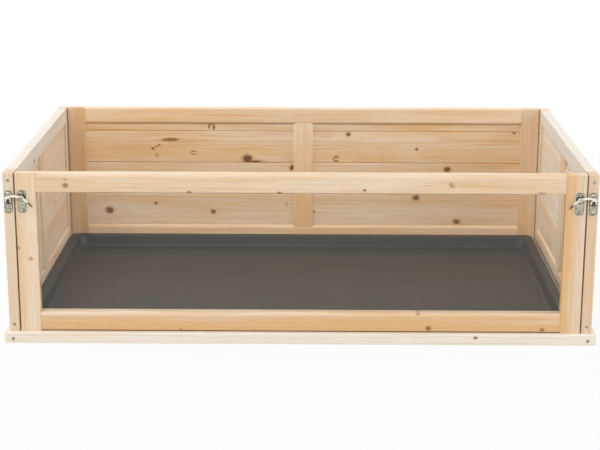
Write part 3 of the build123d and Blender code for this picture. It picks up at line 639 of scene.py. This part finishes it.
def makePlatingGroup():
    tree, start, end = newGroup("platedWearAndShade", [
        ("Vector", "Vector", None), ("Bright", "Color", (0.6, 0.6, 0.56, 1.0)),
        ("Dull", "Color", (0.36, 0.36, 0.32, 1.0)), ("Tarnish", "Float", 0.4), ("Scale", "Float", 1.0),
        ("Near", "Vector", (9.0, 9.0, 9.0)), ("Reach", "Float", 0.001), ("Near Darkening", "Float", 0.0),
        ("Middle", "Vector", (9.0, 9.0, 9.0)), ("Plate Shade", "Float", 0.0),
    ], [("Color", "Color"), ("Roughness", "Float"), ("Metallic", "Float"), ("Height", "Float")])
    given = start.outputs
    # darker round the place Near: on a plate round the pin, painted shadow with some grease; on the lever,
    # darker towards its tail's end
    away = node(tree, "ShaderNodeVectorMath", operation="DISTANCE")
    feed(tree, away.inputs[0], given["Vector"])
    feed(tree, away.inputs[1], given["Near"])
    around = sums(tree, "DIVIDE", away.outputs["Value"], given["Reach"])
    sized = node(tree, "ShaderNodeVectorMath", operation="SCALE")
    feed(tree, sized.inputs[0], given["Vector"])
    feed(tree, sized.inputs["Scale"], given["Scale"])
    cloud = noise(tree, sized.outputs["Vector"], 230.0, 1.0, 4.0, 0.62)
    spot = noise(tree, sized.outputs["Vector"], 900.0, 4.0, 3.0, 0.6)
    scratch = noise(tree, stretched(tree, given["Vector"], (2600.0, 2600.0, 240.0)), 1.0, 2.0, 3.0, 0.6)
    share = sums(tree, "ADD", ramp(tree, cloud, 0.40, 0.64), ramp(tree, spot, 0.52, 0.70, 0.0, 0.45))
    share = sums(tree, "MULTIPLY", share, given["Tarnish"])
    ragged = sums(tree, "ADD", around, sums(tree, "MULTIPLY", sums(tree, "SUBTRACT", cloud, 0.5), 1.6))
    share = sums(tree, "ADD", share, sums(tree, "MULTIPLY", ramp(tree, ragged, 1.5, 0.8), given["Near Darkening"]))
    # on a plate, painted shade round both screw heads, and darker along the plate's edge
    fromMiddle = node(tree, "ShaderNodeVectorMath", operation="SUBTRACT")
    feed(tree, fromMiddle.inputs[0], given["Vector"])
    feed(tree, fromMiddle.inputs[1], given["Middle"])
    x, y, z = split(tree, fromMiddle.outputs["Vector"])
    x, z = sums(tree, "ABSOLUTE", x), sums(tree, "ABSOLUTE", z)
    fromScrew = hypot(tree, x, sums(tree, "SUBTRACT", z, plateShape["screwReach"]))
    edge = sums(tree, "MAXIMUM", sums(tree, "SUBTRACT", x, plateShape["halfWidth"]),
                sums(tree, "SUBTRACT", z, plateShape["halfLength"]))
    shaded = sums(tree, "MAXIMUM", ramp(tree, fromScrew, plateShape["screwShadeReach"], plateShape["screwHead"]),
                  ramp(tree, edge, -plateShape["edgeDarkeningWidth"], 0.0))
    patchy = sums(tree, "MULTIPLY", ramp(tree, cloud, 0.30, 0.60, 0.35, 1.0), given["Plate Shade"])
    shaded = sums(tree, "MULTIPLY", shaded, patchy)
    share = sums(tree, "MINIMUM", sums(tree, "ADD", share, shaded), 1.0)
    tree.links.new(tint(tree, share, given["Bright"], given["Dull"]), end.inputs["Color"])
    tree.links.new(ramp(tree, cloud, 0.3, 0.75, 0.22, 0.46), end.inputs["Roughness"])
    tree.links.new(ramp(tree, share, 0.0, 1.0, 0.92, 0.55), end.inputs["Metallic"])
    tree.links.new(scratch, end.inputs["Height"])
    return tree


platingGroup = makePlatingGroup()


def makeMetal(name, values, near=None, middle=None):
    material, tree = newMaterial(name)
    place = node(tree, "ShaderNodeTexCoord").outputs["Object"]
    # the group gives random tarnish and, on the plates, painted shade round the pin and the screw heads
    wear = node(tree, "ShaderNodeGroup", node_tree=platingGroup)
    for key, value in (("Vector", place), ("Bright", values["bright"]), ("Dull", values["dull"]),
                       ("Tarnish", values["tarnish"]), ("Scale", values["scale"]), ("Near", near),
                       ("Reach", values.get("reach")), ("Near Darkening", values.get("nearDarkening")), ("Middle", middle),
                       ("Plate Shade", values.get("plate"))):
        feed(tree, wear.inputs[key], value)
    skin = node(tree, "ShaderNodeBsdfPrincipled")
    tree.links.new(wear.outputs["Color"], skin.inputs["Base Color"])
    tree.links.new(wear.outputs["Roughness"], skin.inputs["Roughness"])
    tree.links.new(wear.outputs["Metallic"], skin.inputs["Metallic"])
    addBump(tree, skin, wear.outputs["Height"], metalBump["strength"], metalBump["distance"])
    showSkin(tree, skin)
    return material


metalSkins = {
    # on the plates the darkening round the pin is painted shadow with some grease, and the rings round the
    # screw heads are painted shade
    "plate": {"bright": (0.56, 0.55, 0.44, 1.0), "dull": (0.075, 0.070, 0.052, 1.0), "tarnish": 0.50,
              "scale": 0.6, "reach": 0.0062, "nearDarkening": 1.3, "plate": 0.95},
    # the lever's bright colour, far lighter than the plates' zinc, is partly a painted highlight
    "lever": {"bright": (0.92, 0.87, 0.76, 1.0), "dull": (0.10, 0.085, 0.060, 1.0), "tarnish": 0.20,
              "scale": 0.8, "reach": 0.0060, "nearDarkening": 1.1},
    "plateScrew": {"bright": (0.62, 0.60, 0.50, 1.0), "dull": (0.10, 0.09, 0.07, 1.0), "tarnish": 0.85,
                   "scale": 1.0},
    "woodScrew": {"bright": (0.52, 0.48, 0.38, 1.0), "dull": (0.22, 0.19, 0.14, 1.0), "tarnish": 0.7,
                  "scale": 1.2},
}
screwMetals = {name: makeMetal(name + "Metal", metalSkins[name]) for name in ("plateScrew", "woodScrew")}


# Work on single pieces
def takeUp(*pieces):
    bpy.ops.object.select_all(action="DESELECT")
    for piece in pieces:
        piece.select_set(True)
    bpy.context.view_layer.objects.active = pieces[0]


def pickFaces(piece, test):
    # in edit mode: only the faces that pass the test are selected
    bpy.ops.mesh.select_all(action="DESELECT")
    mesh = bmesh.from_edit_mesh(piece.data)
    for face in mesh.faces:
        if test(face):
            face.select_set(True)
    bmesh.update_edit_mesh(piece.data)


def drawOut(piece, radius, z, steps):
    # the end face at z goes out step by step, each a rise and its new radius
    up = 1.0 if z >= 0.0 or steps[0][0] > 0.0 else -1.0
    pickFaces(piece, lambda face: face.normal.z * up > 0.9 and abs(face.calc_center_median().z - z) < 1e-5)
    for rise, wide in steps:
        z += rise
        bpy.ops.mesh.extrude_region_move(TRANSFORM_OT_translate={"value": (0.0, 0.0, rise)})
        bpy.ops.transform.resize(value=(wide / radius, wide / radius, 1.0), center_override=(0.0, 0.0, z))
        radius = wide


def applyModifier(piece, kind, **settings):
    takeUp(piece)
    made = piece.modifiers.new(kind.lower(), kind)
    for key, value in settings.items():
        setattr(made, key, value)
    bpy.ops.object.modifier_apply(modifier=made.name)


def addCross(width, slot, depth, top):
    # cutter for a cross recess: two wedges, narrower at the bottom
    wings = []
    for sides in ((width, slot), (slot, width)):
        bpy.ops.object.select_all(action="DESELECT")
        bpy.ops.mesh.primitive_cube_add(size=1.0, location=(0.0, 0.0, top))
        wing = bpy.context.object
        wing.scale = (sides[0], sides[1], 2 * depth)
        bpy.ops.object.transform_apply(location=True, rotation=True, scale=True)
        bpy.ops.object.mode_set(mode="EDIT")
        pickFaces(wing, lambda face: face.normal.z < -0.9)
        bpy.ops.transform.resize(value=(0.35, 0.35, 1.0), center_override=(0.0, 0.0, top - depth))
        bpy.ops.object.mode_set(mode="OBJECT")
        wings.append(wing)
    return wings


def cutCross(screw, values, top):
    for wing in addCross(values["crossWidth"], values["crossSlot"], values["crossDepth"], top):
        applyModifier(screw, "BOOLEAN", operation="DIFFERENCE", solver="EXACT", object=wing)
        bpy.data.objects.remove(wing)


# Screws: heads at z = 0, shanks below, turned to their places afterwards
woodScrewShape = {
    "head": 0.0038, "shank": 0.0017, "sunk": 0.00015, "rim": 0.0002, "dish": 0.0002, "tip": 0.005,
    "crossWidth": 0.0044, "crossSlot": 0.0010, "crossDepth": 0.0016,
}
plateScrewShape = {
    "head": 0.0035, "shank": 0.0013, "rim": 0.0005, "tip": 0.003, "length": 0.016,
    "dome": ((0.00060, 0.0031), (0.00045, 0.0024), (0.00030, 0.0015), (0.00013, 0.0006)),
    "crossWidth": 0.0042, "crossSlot": 0.0010, "crossDepth": 0.0013,
}
screwSides = 28


def makeRod(name, radius, top, bottom):
    bpy.ops.object.select_all(action="DESELECT")
    bpy.ops.mesh.primitive_cylinder_add(vertices=screwSides, radius=radius, depth=top - bottom,
                                        location=(0.0, 0.0, (top + bottom) / 2))
    rod = bpy.context.object
    rod.name = name
    bpy.ops.object.transform_apply(location=True, rotation=True, scale=True)
    bpy.ops.object.mode_set(mode="EDIT")
    return rod


def makeWoodScrew(values, length):
    cone = values["head"] - values["shank"]
    top = -values["sunk"]
    foot = values["tip"] - length
    screw = makeRod("woodScrew", values["shank"], -cone, foot)
    drawOut(screw, values["shank"], foot, [(-values["tip"] * 0.9, values["shank"] * 0.12)])
    drawOut(screw, values["shank"], -cone, [
        (cone - values["rim"] + top, values["head"] * 0.97), (values["rim"], values["head"] * 0.96),
        (0.0, values["head"] * 0.80), (-values["dish"], values["head"] * 0.72),
    ])
    bpy.ops.object.mode_set(mode="OBJECT")
    cutCross(screw, values, top)
    return screw


def makePlateScrew(values):
    foot = values["tip"] - values["length"]
    screw = makeRod("plateScrew", values["shank"], 0.0, foot)
    drawOut(screw, values["shank"], foot, [(-values["tip"] * 0.9, values["shank"] * 0.12)])
    drawOut(screw, values["shank"], 0.0, [
        (0.0, values["head"] * 0.94), (values["rim"] * 0.4, values["head"]),
        (values["rim"] * 0.6, values["head"]), *values["dome"],
    ])
    bpy.ops.object.mode_set(mode="OBJECT")
    cutCross(screw, values, values["rim"] + sum(rise for rise, wide in values["dome"]))
    return screw


def setOut(master, places, name, nodeName, body, metal):
    # a copy at each place with its head looking out, each turned differently, joined into one piece
    copies = []
    for count, (point, out) in enumerate(places):
        one = master.copy()
        one.data = master.data.copy()
        bpy.context.scene.collection.objects.link(one)
        aim = Vector((0.0, 0.0, 1.0)).rotation_difference(Vector(out)).to_matrix().to_4x4()
        turn = Matrix.Rotation(radians(37.0 * count + 12.0), 4, "Z")
        one.matrix_world = Matrix.Translation(point) @ aim @ turn
        copies.append(one)
    bpy.context.view_layer.update()
    takeUp(*copies)
    bpy.ops.object.join()
    piece = bpy.context.object
    piece.name = name
    bpy.ops.object.transform_apply(location=True, rotation=True, scale=True)
    bpy.ops.object.shade_smooth_by_angle(angle=radians(38.0))
    dress(piece, metal)
    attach(piece, body)
    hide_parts(nodeName)


# Screw places: head's point and the way it looks
ends = (-1, 1)
screwSets = {
    "baseCornerScrews": {
        "node": "base_corner_screws", "length": 0.060,
        "places": [((x * 0.564, y * 0.36, 0.009), (0, y, 0)) for x in ends for y in ends],
    },
    "sideFrameScrews": {
        "node": "side_frame_screws", "length": 0.060,
        "places": [((x * 0.562, y * 0.352, z), (0, y, 0))
                   for x in ends for y in ends for z in (0.036, 0.326)],
    },
    "backCornerScrews": {
        "node": "corner_screws", "length": 0.045,
        "places": [((x * 0.572, 0.342, z), (x, 0, 0)) for x in ends for z in (0.082, 0.280)],
    },
    "baseWallScrews": {
        "node": "base_wall_screws", "length": 0.045,
        "places": [((x * 0.562, y * 0.2, 0.0005), (0, 0, -1)) for x in ends for y in ends]
        + [((x * 0.3, 0.342, 0.0005), (0, 0, -1)) for x in ends],
    },
    "slatScrews": {
        "node": "base_slat_screws", "length": 0.016,
        "places": [((x * 0.19, y * 0.335, 0.0005), (0, 0, -1)) for x in ends for y in ends],
    },
}
plateScrewSets = {
    "catchPlateScrews": {"node": "catch_plate_screws", "body": "pen", "x": 0.562, "y": -0.3532},
    "pivotPlateScrews": {"node": "pivot_plate_screws", "body": "front_panel", "x": 0.5365, "y": -0.3512},
}

for setName, values in screwSets.items():
    master = makeWoodScrew(woodScrewShape, values["length"])
    setOut(master, values["places"], setName, values["node"], "pen", screwMetals["woodScrew"])
    bpy.data.objects.remove(master)
master = makePlateScrew(plateScrewShape)
for setName, values in plateScrewSets.items():
    places = [((x * values["x"], values["y"], z), (0, -1, 0)) for x in ends for z in (0.267, 0.301)]
    setOut(master, places, setName, values["node"], values["body"], screwMetals["plateScrew"])
bpy.data.objects.remove(master)
print("screws done")


# Latches: the CAD shapes with the rolled edges of pressed and polished zinc; the lever's tail tapers
tailShape = {"pivotX": 0.5365, "pivotZ": 0.2925, "alongX": -0.7648, "alongZ": -0.6442, "start": 0.007,
             "end": 0.0272, "thin": 0.50}
# near: centre of the darkening, on a plate its pin with painted shadow, on the hook its tail's end
latchPieces = {
    "CatchPlate": {"node": "catch_plate", "body": "pen", "skin": "plate", "near": (0.562, -0.3532, 0.287),
                   "roll": 0.00035, "steps": 3},
    "PivotPlate": {"node": "pivot_plate", "body": "front_panel", "skin": "plate",
                   "near": (0.5365, -0.3512, 0.2925), "roll": 0.00035, "steps": 3},
    "Hook": {"node": "hook", "body": "latch_hook", "taper": tailShape, "skin": "lever",
             "near": (0.5190, -0.3570, 0.2785), "roll": 0.00060, "steps": 4},
    "HookRivet": {"node": "hook_rivet", "body": "front_panel", "skin": "plateScrew", "near": None,
                  "roll": 0.00060, "steps": 4},
}


def taperTail(piece, across, shape):
    # points of the tail move towards its middle line, more so the nearer they are to its end
    for point in piece.data.vertices:
        fromX = across * point.co.x - shape["pivotX"]
        fromZ = point.co.z - shape["pivotZ"]
        along = fromX * shape["alongX"] + fromZ * shape["alongZ"]
        aside = fromX * shape["alongZ"] - fromZ * shape["alongX"]
        share = (along - shape["start"]) / (shape["end"] - shape["start"])
        if share > 0.0:
            move = aside * shape["thin"] * min(share, 1.0)
            point.co.x -= across * move * shape["alongZ"]
            point.co.z += move * shape["alongX"]


def rollEdges(nodeName, name, values, across):
    # a merged copy of the node, with flat faces in one piece, so that only its real edges are rounded
    piece = nodes[nodeName].copy()
    piece.data = nodes[nodeName].data.copy()
    bpy.context.scene.collection.objects.link(piece)
    piece.name = name
    takeUp(piece)
    bpy.ops.object.mode_set(mode="EDIT")
    bpy.ops.mesh.select_all(action="SELECT")
    bpy.ops.mesh.remove_doubles(threshold=0.000002)
    bpy.ops.mesh.dissolve_limited(angle_limit=radians(1.0))
    bpy.ops.object.mode_set(mode="OBJECT")
    if values.get("taper"):
        taperTail(piece, across, values["taper"])
    applyModifier(piece, "BEVEL", width=values["roll"], segments=values["steps"], limit_method="ANGLE",
                  angle_limit=radians(50.0), use_clamp_overlap=True)
    bpy.ops.object.shade_smooth_by_angle(angle=radians(35.0))
    return piece


for side, across in (("left", -1), ("right", 1)):
    for pieceName, values in latchPieces.items():
        nodeName = side + "_" + values["node"]
        piece = rollEdges(nodeName, side + pieceName, values, across)
        near, middle = values["near"], None
        if near:
            near = (across * near[0], near[1], near[2])
        if values["skin"] == "plate":
            middle = (near[0], near[1], plateShape["middleZ"])
        dress(piece, makeMetal(side + pieceName + "Metal", metalSkins[values["skin"]], near, middle))
        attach(piece, side + "_latch_hook" if values["body"] == "latch_hook" else values["body"])
        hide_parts(nodeName)
print("latches done")

low, high = cadBox
